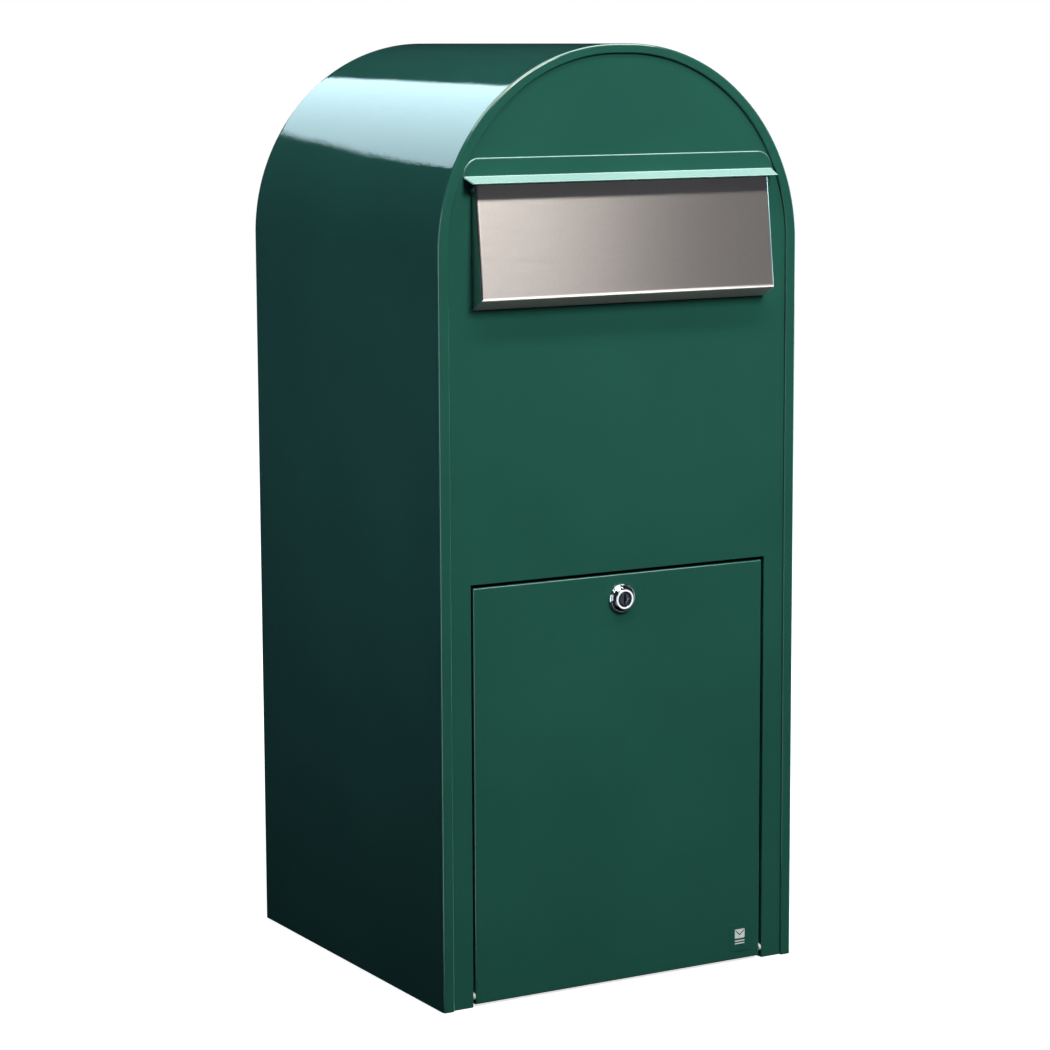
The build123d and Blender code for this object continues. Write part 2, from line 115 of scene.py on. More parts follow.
# Door
DOOR_HALF_WIDTH = 148.0
DOOR_BOTTOM = 2.0
DOOR_TOP = 369.0
DOOR_FOLD = 20.0
DOOR_LIP = 10.0
DOOR_BEND = 1.8
DOOR_EDGE_ROUND = 0.25
DOOR_RELIEF = 12.0
DOOR_RELIEF_RISE = 7.5
HINGE = (6.2, 9.0)
PIVOT_RADIUS = 1.55

# Lock
LOCK_Z = 347.5
BEZEL_RADIUS = 13.0
BEZEL_FRONT = -0.5
BEZEL_ROUND = 1.6
BEZEL_CHAMFER = 0.3
RING_RADIUS = 9.0
RING_FRONT = -4.2
RING_ROUND = 0.5
RING_LAND = 0.95
RING_LAND_ROUND = 0.15
# Groove round the ring, as radius beyond the ring and setback behind the bezel
GROOVE = ((0.9, 0.7), (0.35, 1.0), (0.0, 0.8))
BARREL_RADIUS = 9.5
BARREL_FLATS = 16.0
BARREL_END = 23.0
BARREL_CHAMFER = 0.5
BORE_RADIUS = 6.05
BORE_LEAD = 1.1
BORE_CHAMFER = 0.3
PLUG_RADIUS = 6.0
PLUG_FRONT = -3.8
PLUG_END = 23.6
PLUG_ROUND = 0.5
PLUG_FACE_EDGE = 0.9
PLUG_MIDDLE = 0.6
KEYWAY_WIDTH = 1.8
KEYWAY_HEIGHT = 8.6
KEYWAY_DEPTH = 18.0
KEYWAY_OVERSHOOT = 3.0
SHUTTER_GAP = 0.35
SHUTTER_ENDS = (-3.0, 3.2)
SHUTTER_BOW = (1.7, 2.5)
SHUTTER_BOW_CENTRE = (0.45, 0.4)
SHUTTER_WIRE = (0.32, 0.3)
SHUTTER_PROUD = 0.05

# Badge
BADGE_CENTRE = (126.5, 23.0)
BADGE_SIZE = (21.0, 26.0)
BADGE_CORNER = 3.0
BADGE_THICKNESS = 0.4
BADGE_EDGE_ROUND = 0.1
PRINT_PROUD = 0.1
PRINT_THICKNESS = 0.12
PRINT_EDGE_ROUND = 0.03
SIGN_RISE = 3.0
SIGN_SIZE = (10.6, 8.6)
SIGN_CORNER = 1.0
SIGN_FOLD = ((-4.6, 3.6), (0.0, -0.4), (4.6, 3.6), (4.6, 2.4), (0.0, -1.6), (-4.6, 2.4))
LINE_DROPS = (3.6, 6.0)
LINE_SIZE = (10.6, 1.1)
LINE_CORNER = 0.5


# ---------------------------------------------------------------- mesh helpers


def at(x, setback, z):
    """Point in metres from millimetres, with its depth as a setback behind the rim plane."""
    return Vector((x * MM, (RIM_Y + setback) * MM, z * MM))


def new_object(name, data):
    obj = bpy.data.objects.new(name, data)
    bpy.context.scene.collection.objects.link(obj)
    return obj


def loft(sections, closed, capped):
    """Vertices and faces of a skin over rows of points, each row closed on itself if asked."""
    count = len(sections[0])
    vertices = [point for section in sections for point in section]
    faces = []
    for row in range(len(sections) - 1):
        for column in range(count if closed else count - 1):
            after = (column + 1) % count
            here, there = row * count, (row + 1) * count
            faces.append((here + column, here + after, there + after, there + column))
    if capped:
        faces.append(tuple(reversed(range(count))))
        last = (len(sections) - 1) * count
        faces.append(tuple(range(last, last + count)))
    return vertices, faces


def mesh_object(name, vertices, faces):
    mesh = bpy.data.meshes.new(name)
    mesh.from_pydata([tuple(v) for v in vertices], [], faces)
    editor = bmesh.new()
    editor.from_mesh(mesh)
    bmesh.ops.remove_doubles(editor, verts=editor.verts, dist=1e-7)
    bmesh.ops.recalc_face_normals(editor, faces=editor.faces)
    editor.to_mesh(mesh)
    editor.free()
    return new_object(name, mesh)


def apply_modifiers(obj):
    """Replaces the object's mesh by what its modifiers make of it."""
    graph = bpy.context.evaluated_depsgraph_get()
    mesh = bpy.data.meshes.new_from_object(obj.evaluated_get(graph))
    old = obj.data
    obj.modifiers.clear()
    obj.data = mesh
    bpy.data.meshes.remove(old)


def cut(obj, *tools):
    """Takes the tools' volume out of the object and removes the tools."""
    for tool in tools:
        modifier = obj.modifiers.new("cut", "BOOLEAN")
        modifier.operation = "DIFFERENCE"
        modifier.solver = "EXACT"
        modifier.object = tool
    apply_modifiers(obj)
    for tool in tools:
        bpy.data.objects.remove(tool)


def soften(obj, width, segments=2, angle=50.0):
    """Rounds every edge sharper than the angle by the width in millimetres."""
    modifier = obj.modifiers.new("soften", "BEVEL")
    modifier.width = width * MM
    modifier.segments = segments
    modifier.limit_method = "ANGLE"
    modifier.angle_limit = math.radians(angle)
    modifier.use_clamp_overlap = True
    apply_modifiers(obj)


def finish_piece(obj, material, body, slot, *nodes, angle=35.0):
    """Shades the piece, gives it its material and hangs it on its body."""
    mesh = obj.data
    mesh.materials.clear()
    mesh.materials.append(material)
    mesh.shade_smooth()
    mesh.set_sharp_from_angle(angle=math.radians(angle))
    weighted = obj.modifiers.new("weighted", "WEIGHTED_NORMAL")
    weighted.keep_sharp = True
    weighted.weight = 80
    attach(obj, body)
    if nodes:
        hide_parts(*nodes)
    return obj


def prism(name, outline, x0, x1):
    """Solid along X from a closed outline of (setback, z) points."""
    near = [at(x0, s, z) for s, z in outline]
    far = [at(x1, s, z) for s, z in outline]
    return mesh_object(name, *loft([near, far], closed=True, capped=True))


def block(name, x0, x1, s0, s1, z0, z1):
    return prism(name, [(s0, z0), (s1, z0), (s1, z1), (s0, z1)], x0, x1)


def circle(centre, radius, count):
    points = []
    for step in range(count):
        turn = 2 * math.pi * step / count
        points.append((centre[0] + radius * math.cos(turn), centre[1] + radius * math.sin(turn)))
    return points


def rod(name, centre, radius, x0, x1, count=48):
    """Round solid along X about a (setback, z) centre."""
    return prism(name, circle(centre, radius, count), x0, x1)


def lathe(name, profile, centre, count=96):
    """Solid of revolution about a line along Y through (x, z), from (radius, setback) points."""
    sections = []
    for radius, setback in profile:
        sections.append([at(x, setback, z) for x, z in circle(centre, radius, count)])
    return mesh_object(name, *loft(sections, closed=True, capped=True))


def bevel_edges(obj, chosen, width, segments):
    """Rounds the edges for which chosen(edge middle) holds, with the middle in millimetres."""
    editor = bmesh.new()
    editor.from_mesh(obj.data)
    edges = []
    for edge in editor.edges:
        if chosen((edge.verts[0].co + edge.verts[1].co) / 2 / MM):
            edges.append(edge)
    bmesh.ops.bevel(
        editor,
        geom=edges,
        offset=width * MM,
        offset_type="OFFSET",
        segments=segments,
        profile=0.5,
        affect="EDGES",
        clamp_overlap=True,
    )
    editor.to_mesh(obj.data)
    editor.free()


def slab(name, loop, s0, s1):
    """Solid along Y from a closed loop of (x, z) points."""
    near = [at(x, s0, z) for x, z in loop]
    far = [at(x, s1, z) for x, z in loop]
    return mesh_object(name, *loft([near, far], closed=True, capped=True))


def plate(name, outline, holes, front, thickness, edge_round):
    """Flat sheet facing forwards, with rounded edges."""
    sheet = slab(name, outline, front, front + thickness)
    start, end = front - CUT_OVERSHOOT, front + thickness + CUT_OVERSHOOT
    tools = [slab("hole", hole, start, end) for hole in holes]
    if tools:
        cut(sheet, *tools)
    soften(sheet, edge_round)
    return sheet


def rounded_rectangle(centre, width, height, radius, steps=8):
    """Closed loop of (x, z) points."""
    loop = []
    for quarter, (sx, sz) in enumerate([(1, 1), (-1, 1), (-1, -1), (1, -1)]):
        corner = (centre[0] + sx * (width / 2 - radius), centre[1] + sz * (height / 2 - radius))
        for step in range(steps + 1):
            turn = math.pi / 2 * (quarter + step / steps)
            loop.append((corner[0] + radius * math.cos(turn), corner[1] + radius * math.sin(turn)))
    return loop


def quarter_turn(steps):
    """Angles from zero to a right angle."""
    return [math.pi / 2 * step / steps for step in range(steps + 1)]


# ---------------------------------------------------------------- materials

# Nearly all values of a noise lie in this range
NOISE_RANGE = (0.3, 0.7)
# Sockets of a Mix node set to colours
MIX_FACTOR, MIX_FIRST, MIX_SECOND, MIX_RESULT = 0, 6, 7, 2


def node(tree, kind, **settings):
    made = tree.nodes.new(kind)
    for name, value in settings.items():
        setattr(made, name, value)
    return made


def set_inputs(made, **values):
    for name, value in values.items():
        made.inputs[name.replace("_", " ")].default_value = value
    return made


def position(tree, stretch=(1.0, 1.0, 1.0)):
    """The surface's own place in metres, stretched along the axes."""
    source = node(tree, "ShaderNodeTexCoord")
    mapping = node(tree, "ShaderNodeMapping")
    mapping.inputs["Scale"].default_value = stretch
    tree.links.new(source.outputs["Object"], mapping.inputs["Vector"])
    return mapping.outputs["Vector"]


def noise(tree, place, scale, detail=3.0, roughness=0.5):
    made = node(tree, "ShaderNodeTexNoise")
    set_inputs(made, Scale=scale, Detail=detail, Roughness=roughness)
    tree.links.new(place, made.inputs["Vector"])
    return made.outputs["Fac"]


def spread(tree, value, low, high, start=0.0, end=1.0):
    """The value moved from start..end to low..high."""
    made = node(tree, "ShaderNodeMapRange")
    set_inputs(made, From_Min=start, From_Max=end, To_Min=low, To_Max=high)
    tree.links.new(value, made.inputs["Value"])
    return made.outputs["Result"]


def from_noise(tree, value, low, high):
    """Noise stretched to run from low to high."""
    return spread(tree, value, low, high, *NOISE_RANGE)


def two_tones(tree, value, base, dark, light):
    """The base colour, uneven between its dark and its light share by a noise value."""
    made = node(tree, "ShaderNodeMix", data_type="RGBA")
    made.inputs[MIX_FIRST].default_value = (*(dark * c for c in base), 1.0)
    made.inputs[MIX_SECOND].default_value = (*(min(1.0, light * c) for c in base), 1.0)
    tree.links.new(from_noise(tree, value, 0.0, 1.0), made.inputs[MIX_FACTOR])
    return made.outputs[MIX_RESULT]


def bump(tree, height, strength, distance, before=None):
    made = node(tree, "ShaderNodeBump")
    set_inputs(made, Strength=strength, Distance=distance)
    tree.links.new(height, made.inputs["Height"])
    if before is not None:
        tree.links.new(before, made.inputs["Normal"])
    return made.outputs["Normal"]


def new_material(name, metallic=0.0, anisotropic=0.0):
    material = bpy.data.materials.new(name)
    material.use_nodes = True
    shader = material.node_tree.nodes["Principled BSDF"]
    set_inputs(shader, Metallic=metallic, Anisotropic=anisotropic, IOR=1.5)
    return material, material.node_tree, shader


def paint_material(name, base):
    """Glossy powder coat: orange peel, slightly uneven colour and the gentle waves of thin sheet."""
    material, tree, shader = new_material(name)
    place = position(tree)
    cloud = noise(tree, place, scale=7.0, detail=4.0)
    tree.links.new(two_tones(tree, cloud, base, 0.93, 1.06), shader.inputs["Base Color"])
    haze = noise(tree, place, scale=60.0, detail=5.0, roughness=0.6)
    tree.links.new(from_noise(tree, haze, 0.012, 0.035), shader.inputs["Roughness"])
    waves = noise(tree, place, scale=7.0, detail=1.0)
    waved = bump(tree, waves, strength=1.0, distance=0.0005)
    peel = noise(tree, place, scale=330.0, detail=2.0)
    peeled = bump(tree, peel, strength=0.17, distance=0.0003, before=waved)
    tree.links.new(peeled, shader.inputs["Normal"])
    return material


def steel_material(name, base):
    """Satin steel ground along X, so that what it mirrors is smeared along Z."""
    material, tree, shader = new_material(name, metallic=1.0, anisotropic=0.6)
    lines = noise(tree, position(tree, (450.0, 1100.0, 1100.0)), scale=1.0, detail=2.0, roughness=0.6)
    long_lines = noise(tree, position(tree, (40.0, 2600.0, 2600.0)), scale=1.0, detail=2.0)
    sparkle = noise(tree, position(tree), scale=1500.0, detail=2.0, roughness=0.7)
    # Painted shade: faces that look down are made darker, standing in for the shade under the flap
    facing = node(tree, "ShaderNodeSeparateXYZ")
    tree.links.new(node(tree, "ShaderNodeTexCoord").outputs["Normal"], facing.inputs["Vector"])
    # Painted shade share, from 0.28 on faces looking straight down to 1 on the rest
    down_face_painted_shade = spread(tree, facing.outputs["Z"], 0.28, 1.0, start=-0.93, end=-0.75)
    shade = node(tree, "ShaderNodeVectorMath", operation="SCALE")
    tree.links.new(two_tones(tree, sparkle, base, 0.90, 1.08), shade.inputs[0])
    tree.links.new(down_face_painted_shade, shade.inputs["Scale"])
    tree.links.new(shade.outputs["Vector"], shader.inputs["Base Color"])
    tree.links.new(from_noise(tree, long_lines, 0.29, 0.31), shader.inputs["Roughness"])
    tree.links.new(bump(tree, lines, strength=0.02, distance=0.0002), shader.inputs["Normal"])
    along = set_inputs(node(tree, "ShaderNodeCombineXYZ"), X=0.05, Y=0.1, Z=0.99)
    tree.links.new(along.outputs["Vector"], shader.inputs["Tangent"])
    return material


def plain_material(name, base, rough, grain_scale, grain=0.15, contrast=0.12, metallic=0.0):
    """Moulded or plated surface with fine grain and slightly uneven colour."""
    material, tree, shader = new_material(name, metallic)
    place = position(tree)
    grit = noise(tree, place, grain_scale, roughness=0.6)
    cloud = noise(tree, place, grain_scale / 12)
    tree.links.new(two_tones(tree, cloud, base, 1 - contrast, 1 + contrast), shader.inputs["Base Color"])
    tree.links.new(from_noise(tree, grit, *rough), shader.inputs["Roughness"])
    tree.links.new(bump(tree, grit, grain, distance=0.0002), shader.inputs["Normal"])
    return material


GREEN = (0.0185, 0.100, 0.070)
PAINT = paint_material("paint_green", GREEN)
STAINLESS = steel_material("stainless_satin", (0.62, 0.585, 0.56))
CHROME = plain_material(
    "chrome", (0.78, 0.79, 0.80), (0.04, 0.09), 900.0, grain=0.02, contrast=0.03, metallic=1.0
)
ZINC = plain_material("zinc", (0.55, 0.56, 0.58), (0.22, 0.4), 700.0, grain=0.08, metallic=1.0)
LOCK_CORE = plain_material(
    "lock_core", (0.045, 0.055, 0.075), (0.14, 0.22), 900.0, grain=0.05, metallic=0.9
)
RUBBER = plain_material("rubber", (0.022, 0.022, 0.022), (0.55, 0.75), 1200.0)
NYLON = plain_material("nylon", (0.66, 0.66, 0.60), (0.35, 0.5), 900.0)
BADGE_PRINT = plain_material("badge_print", (0.78, 0.83, 0.80), (0.25, 0.4), 2500.0, contrast=0.04)
BADGE_FILM = plain_material("badge_film", GREEN, (0.10, 0.16), 1500.0, contrast=0.05)

for cad_name, material in {
    "back_panel": PAINT,
    "floor_panel": PAINT,
    "jamb_left": PAINT,
    "jamb_right": PAINT,
    "header": PAINT,
    "flap_lugs": ZINC,
    "flap_pin": STAINLESS,
    "flap_pin_cap": STAINLESS,
    "strike": ZINC,
    "door_buffers": RUBBER,
    "pivot_pins": ZINC,
    "pivot_washers": NYLON,
    "lock_nut": ZINC,
    "lock_cam": ZINC,
    "lock_cam_screw": ZINC,
}.items():
    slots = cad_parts[cad_name].data.materials
    slots.clear()
    slots.append(material)


# ---------------------------------------------------------------- shell


def arch_path(half_width, top, radius, low=0.0):
    """(x, z) points up the left side, over the arch and down the right side."""
    points = []
    spring = top - radius
    for step in range(SIDE_STEPS):
        points.append((-half_width, low + (spring - low) * step / SIDE_STEPS))
    for quarter in quarter_turn(ARCH_STEPS):
        turn = math.pi - quarter
        points.append((radius - half_width + radius * math.cos(turn), spring + radius * math.sin(turn)))
    return points + [(-x, z) for x, z in reversed(points)]


def shell_ring(side, crown, step, setback):
    """One line of the shell running round the arch, by how far it lies inside the outer skin."""
    path = arch_path(WIDTH / 2 - side, HEIGHT - crown, ARCH_RADIUS - step)
    return [at(x, setback, z) for x, z in path]


def even_ring(inset, setback):
    return shell_ring(inset, inset, inset, setback)


def rim_ring(inset, setback):
    """A line at the rim's inner edge, moved towards the outside by the inset."""
    return shell_ring(RIM_SIDE - inset, RIM_TOP - inset, RIM_RADIUS_STEP - inset, setback)


def build_shell():
    """Arched sheet with a flange bent in at the back and a rolled rim, hemmed back, at the front."""
    rings = [even_ring(REAR_FLANGE, DEPTH), even_ring(REAR_BEND + FLAT_BESIDE_EDGE, DEPTH)]
    for turn in quarter_turn(6):
        inset = REAR_BEND * (1 - math.sin(turn))
        rings.append(even_ring(inset, DEPTH - REAR_BEND * (1 - math.cos(turn))))
    rings.append(even_ring(0.0, DEPTH - REAR_BEND - FLAT_BESIDE_BEND))
    rings += [even_ring(0.0, setback) for setback in BODY_LINES]
    rings.append(even_ring(0.0, RIM_BEND + FLAT_BESIDE_BEND))
    for turn in quarter_turn(10):
        rings.append(even_ring(RIM_BEND * (1 - math.cos(turn)), RIM_BEND * (1 - math.sin(turn))))
    rings.append(even_ring(RIM_BEND + FLAT_BESIDE_RIM, 0.0))
    for turn in quarter_turn(5):
        inset = RIM_INNER_ROUND * (1 - math.sin(turn))
        rings.append(rim_ring(inset, RIM_INNER_ROUND * (1 - math.cos(turn))))
    rings.append(rim_ring(0.0, HEM - HEM_CHAMFER))
    rings.append(rim_ring(HEM_CHAMFER, HEM))
    # Inner skin, from the hem back to the flange
    rings.append(even_ring(SHEET + FLAT_BESIDE_EDGE, HEM))
    rings.append(even_ring(SHEET, HEM))
    rings.append(even_ring(SHEET, DEPTH - SHEET))
    rings.append(even_ring(REAR_FLANGE, DEPTH - SHEET))
    sections = [list(section) for section in zip(*rings)]
    shell = mesh_object("shell_skin", *loft(sections, closed=True, capped=True))
    return finish_piece(shell, PAINT, "cabinet", "paint", "shell", angle=50.0)


shell_piece = build_shell()


# ---------------------------------------------------------------- front panel


def build_front_panel():
    """Flat sheet behind the rim, with the letter slot and the door's opening."""
    inset = SHEET + FIT_GAP
    outline = arch_path(WIDTH / 2 - inset, HEIGHT - inset, ARCH_RADIUS - inset)
    outline += [
        (OPENING_HALF_WIDTH, 0.0), (OPENING_HALF_WIDTH, OPENING_TOP),
        (-OPENING_HALF_WIDTH, OPENING_TOP), (-OPENING_HALF_WIDTH, 0.0),
    ]
    slot = rounded_rectangle(
        (0, (SLOT_TOP + SLOT_BOTTOM) / 2), 2 * SLOT_HALF_WIDTH, SLOT_TOP - SLOT_BOTTOM, SLOT_CORNER
    )
    panel = plate("panel_sheet", outline, [slot], PANEL_FRONT, SHEET, PANEL_EDGE_ROUND)
    finish_piece(panel, PAINT, "cabinet", "paint", "front_panel")


build_front_panel()


# ---------------------------------------------------------------- visor


def visor_inset(x, z, half):
    """How far a point of the visor lies inside its outline."""
    side = half - abs(x)
    over_side = abs(x) - (VISOR_HALF_WIDTH - VISOR_CORNER)
    over_top = z - (VISOR_TOP - VISOR_CORNER)
    if over_side > 0 and over_top > 0:
        return max(0.0, VISOR_CORNER - math.hypot(over_side, over_top))
    return min(side, VISOR_TOP - z)


def visor_rows():
    """Half width, setback, height and turn of each line across the visor, from its top to its lip."""
    face = PANEL_FRONT - SHEET
    reach = SHEET / 2
    run = math.hypot(face - VISOR_LIP_SETBACK, VISOR_FOLD_Z - VISOR_LIP_Z)
    along = ((VISOR_LIP_SETBACK - face) / run, (VISOR_LIP_Z - VISOR_FOLD_Z) / run)
    bend_angle = math.acos(-along[1])
    tangent = VISOR_BEND * math.tan(bend_angle / 2)
    drops = list(VISOR_TOP_DROPS)
    # The rest of the rounded corner, down to its full width
    drops += [VISOR_CORNER * (1 - math.cos(math.radians(turn))) for turn in range(26, 91, 4)]
    rows = []
    for drop in drops:
        arc_half = math.sqrt(VISOR_CORNER**2 - (VISOR_CORNER - drop) ** 2)
        rows.append((VISOR_HALF_WIDTH - VISOR_CORNER + arc_half, face, VISOR_TOP - drop, 0.0))
    for step in range(7):
        turn = bend_angle * step / 6
        setback = face - VISOR_BEND + VISOR_BEND * math.cos(turn)
        z = VISOR_FOLD_Z + tangent - VISOR_BEND * math.sin(turn)
        rows.append((VISOR_HALF_WIDTH, setback, z, turn))
    for share in VISOR_LIP_SHARES:
        gone = tangent + (run - reach - tangent) * share
        half = VISOR_HALF_WIDTH - VISOR_LIP_TAPER * gone / run
        rows.append((half, face + along[0] * gone, VISOR_FOLD_Z + along[1] * gone, bend_angle))
    return rows, along


def build_visor():
    """Upright flange with rounded upper corners, bent into a lip that slopes outwards."""
    rows, along = visor_rows()
    columns = [(-1, offset) for offset in VISOR_SIDE_OFFSETS]
    columns += [(0, share / 10) for share in range(-10, 11)]
    columns += [(1, offset) for offset in reversed(VISOR_SIDE_OFFSETS)]
    sections = []
    for side, place in columns:
        front, rear = [], []
        for half, s, z, turn in rows:
            x = side * (half - place) if side else place * (half - VISOR_SIDE_STRIP)
            inset = visor_inset(x, z, half) if turn == 0.0 else half - abs(x)
            gap = max(0.0, VISOR_EDGE_ROUND - inset)
            sunk = VISOR_EDGE_ROUND - math.sqrt(max(0.0, VISOR_EDGE_ROUND**2 - gap**2))
            inward = (math.cos(turn), -math.sin(turn))
            front.append(at(x, s + sunk * inward[0], z + sunk * inward[1]))
            rear.append(at(x, s + SHEET * inward[0], z + SHEET * inward[1]))
        # Half-round tip of the lip, after the last row
        s, z, radius = s + sunk * inward[0], z + sunk * inward[1], (SHEET - sunk) / 2
        tip = []
        for step in range(1, 8):
            turn = math.pi * step / 8
            deep, out = radius * (1 - math.cos(turn)), radius * math.sin(turn)
            tip_s = s + deep * inward[0] + out * along[0]
            tip.append(at(x, tip_s, z + deep * inward[1] + out * along[1]))
        sections.append(front + tip + rear[::-1])
    visor = mesh_object("visor_sheet", *loft(sections, closed=True, capped=True))
    return finish_piece(visor, PAINT, "cabinet", "paint", "visor", angle=50.0)


visor_piece = build_visor()


# ---------------------------------------------------------------- flap


def build_flap():
    """Stainless cover with bent sides and bottom, open at the back."""
    eye, eye_z = FLAP_AXIS
    heel = eye + FLAP_EYE_RADIUS
    outline = [FLAP_TOP, FLAP_NOSE, (heel, FLAP_HEEL_Z), (heel, eye_z)]
    for turn in quarter_turn(8)[1:]:
        z = eye_z + FLAP_EYE_RADIUS * math.sin(turn)
        outline.append((eye + FLAP_EYE_RADIUS * math.cos(turn), z))
    flap = prism("flap_cover", outline, -FLAP_HALF_WIDTH, FLAP_HALF_WIDTH)
    slope = (FLAP_TOP[0] - FLAP_NOSE[0]) / (FLAP_TOP[1] - FLAP_NOSE[1])
    fall = (FLAP_NOSE[1] - FLAP_HEEL_Z) / (heel - FLAP_NOSE[0])

    def on_front(middle):
        """Whether an edge's middle lies in the sloping face and not at its top."""
        expected = FLAP_NOSE[0] + (middle.z - FLAP_NOSE[1]) * slope
        in_face = abs(middle.y - RIM_Y - expected) < 0.05
        above_nose, below_top = middle.z > FLAP_NOSE[1] - 0.5, middle.z < FLAP_TOP[1] - 1.0
        return in_face and above_nose and below_top

    bevel_edges(flap, on_front, FLAP_BEND, 6)
    reach = FLAP_HOLLOW_REACH
    inner = [
        (FLAP_TOP[0] + FLAP_SHEET + reach * slope, FLAP_TOP[1] + reach),
        (FLAP_NOSE[0] + FLAP_SHEET * (1 + slope), FLAP_NOSE[1] + FLAP_SHEET * (1 - fall)),
        (reach, FLAP_NOSE[1] + FLAP_SHEET * (1 - fall) - fall * (reach - FLAP_NOSE[0] - FLAP_SHEET)),
        (reach, FLAP_TOP[1] + reach),
    ]
    hollow = prism("hollow", inner, FLAP_SHEET - FLAP_HALF_WIDTH, FLAP_HALF_WIDTH - FLAP_SHEET)
    end = FLAP_HALF_WIDTH + CUT_OVERSHOOT
    bore = rod("bore", FLAP_AXIS, FLAP_PIN_RADIUS, -end, end)
    cut(flap, hollow, bore)
    soften(flap, FLAP_EDGE_ROUND)
    return finish_piece(flap, STAINLESS, "flap", "stainless", "flap")


flap_piece = build_flap()


# ---------------------------------------------------------------- door


def build_door():
    """Tray with rounded front edges and a return lip, cut away at its foot."""
    back = PANEL_FRONT + DOOR_FOLD
    door = block(
        "door_tray", -DOOR_HALF_WIDTH, DOOR_HALF_WIDTH, PANEL_FRONT, back, DOOR_BOTTOM, DOOR_TOP
    )
    bevel_edges(door, lambda middle: middle.y - RIM_Y < PANEL_FRONT + 0.1, DOOR_BEND, 6)
    half = DOOR_HALF_WIDTH - SHEET
    cavity = block(
        "cavity", -half, half, PANEL_FRONT + SHEET, back - SHEET, DOOR_BOTTOM + SHEET, DOOR_TOP - SHEET
    )
    half = DOOR_HALF_WIDTH - DOOR_LIP
    mouth = block(
        "mouth", -half, half, back - 2 * SHEET, back + CUT_OVERSHOOT,
        DOOR_BOTTOM + DOOR_LIP, DOOR_TOP - DOOR_LIP,
    )
    relief_outline = [
        (PANEL_FRONT + DOOR_RELIEF, DOOR_BOTTOM - CUT_OVERSHOOT),
        (PANEL_FRONT + DOOR_RELIEF, DOOR_BOTTOM + DOOR_RELIEF),
        (back, DOOR_BOTTOM + 2 * DOOR_RELIEF),
        (back + CUT_OVERSHOOT, DOOR_BOTTOM + 2 * DOOR_RELIEF + DOOR_RELIEF_RISE),
        (back + CUT_OVERSHOOT, DOOR_BOTTOM - CUT_OVERSHOOT),
    ]
    end = DOOR_HALF_WIDTH + CUT_OVERSHOOT
    relief = prism("relief", relief_outline, -end, end)
    bore = rod("bore", HINGE, PIVOT_RADIUS, -end, end)
    cut(door, cavity, mouth, relief, bore)
    soften(door, DOOR_EDGE_ROUND)
    return finish_piece(door, PAINT, "door", "paint", "door")


door_piece = build_door()


# ---------------------------------------------------------------- lock


def arc(centre, radius, start, end, steps=6):
    """Points of a rounded corner in a lathe profile; angles in degrees, 0 outwards and 90 forwards."""
    points = []
    for step in range(steps + 1):
        turn = math.radians(start + (end - start) * step / steps)
        points.append((centre[0] + radius * math.cos(turn), centre[1] - radius * math.sin(turn)))
    return points


def housing_profile():
    """(radius, setback) points from behind the bezel, over the front, to the end of the barrel."""
    profile = [
        (BARREL_RADIUS, PANEL_FRONT),
        (BEZEL_RADIUS - BEZEL_CHAMFER, PANEL_FRONT),
        (BEZEL_RADIUS, PANEL_FRONT - BEZEL_CHAMFER),
    ]
    profile += arc((BEZEL_RADIUS - BEZEL_ROUND, BEZEL_FRONT + BEZEL_ROUND), BEZEL_ROUND, 0, 90)
    profile += [(RING_RADIUS + out, BEZEL_FRONT + deep) for out, deep in GROOVE]
    profile += arc((RING_RADIUS - RING_ROUND, RING_FRONT + RING_ROUND), RING_ROUND, 0, 90)
    land = (BORE_RADIUS + RING_LAND, RING_FRONT + RING_LAND_ROUND)
    profile += arc(land, RING_LAND_ROUND, 90, 135, 2)
    profile += [
        (BORE_RADIUS, RING_FRONT + BORE_LEAD),
        (BORE_RADIUS, BARREL_END - BORE_CHAMFER),
        (BORE_RADIUS + BORE_CHAMFER, BARREL_END),
        (BARREL_RADIUS - BARREL_CHAMFER, BARREL_END),
        (BARREL_RADIUS, BARREL_END - BARREL_CHAMFER),
    ]
    return profile


def build_lock_housing(count=96):
    """Domed bezel with a raised ring and a barrel with two flats."""
    profile = housing_profile()
    flat = BARREL_FLATS / 2
    sections = []
    for step in range(count):
        turn = 2 * math.pi * step / count
        section = []
        for radius, setback in profile:
            x, z = radius * math.cos(turn), radius * math.sin(turn)
            on_barrel = setback > PANEL_FRONT - 0.01 and radius > flat
            if on_barrel and abs(radius - BEZEL_RADIUS) > 0.5:
                x = max(-flat, min(flat, x))
            section.append(at(x, setback, LOCK_Z + z))
        sections.append(section)
    sections.append(sections[0])
    housing = mesh_object("lock_body", *loft(sections, closed=True, capped=False))
    return finish_piece(housing, CHROME, "door", "chrome", "lock_housing", angle=40.0)


def build_lock_plug():
    """Round plug with the keyway cut into its face."""
    profile = [(PLUG_MIDDLE, PLUG_FRONT), (PLUG_RADIUS - PLUG_FACE_EDGE, PLUG_FRONT)]
    profile += arc((PLUG_RADIUS - PLUG_ROUND, PLUG_FRONT + PLUG_ROUND), PLUG_ROUND, 90, 0, 4)
    profile += [(PLUG_RADIUS, PLUG_END), (PLUG_MIDDLE, PLUG_END)]
    plug = lathe("lock_barrel", profile, (0.0, LOCK_Z))
    half_width, half_height = KEYWAY_WIDTH / 2, KEYWAY_HEIGHT / 2
    keyway = block(
        "keyway", -half_width, half_width, PLUG_FRONT - KEYWAY_OVERSHOOT, PLUG_FRONT + KEYWAY_DEPTH,
        LOCK_Z - half_height, LOCK_Z + half_height,
    )
    cut(plug, keyway)
    return finish_piece(plug, LOCK_CORE, "lock_cylinder", "lock_core", "lock_plug", angle=40.0)


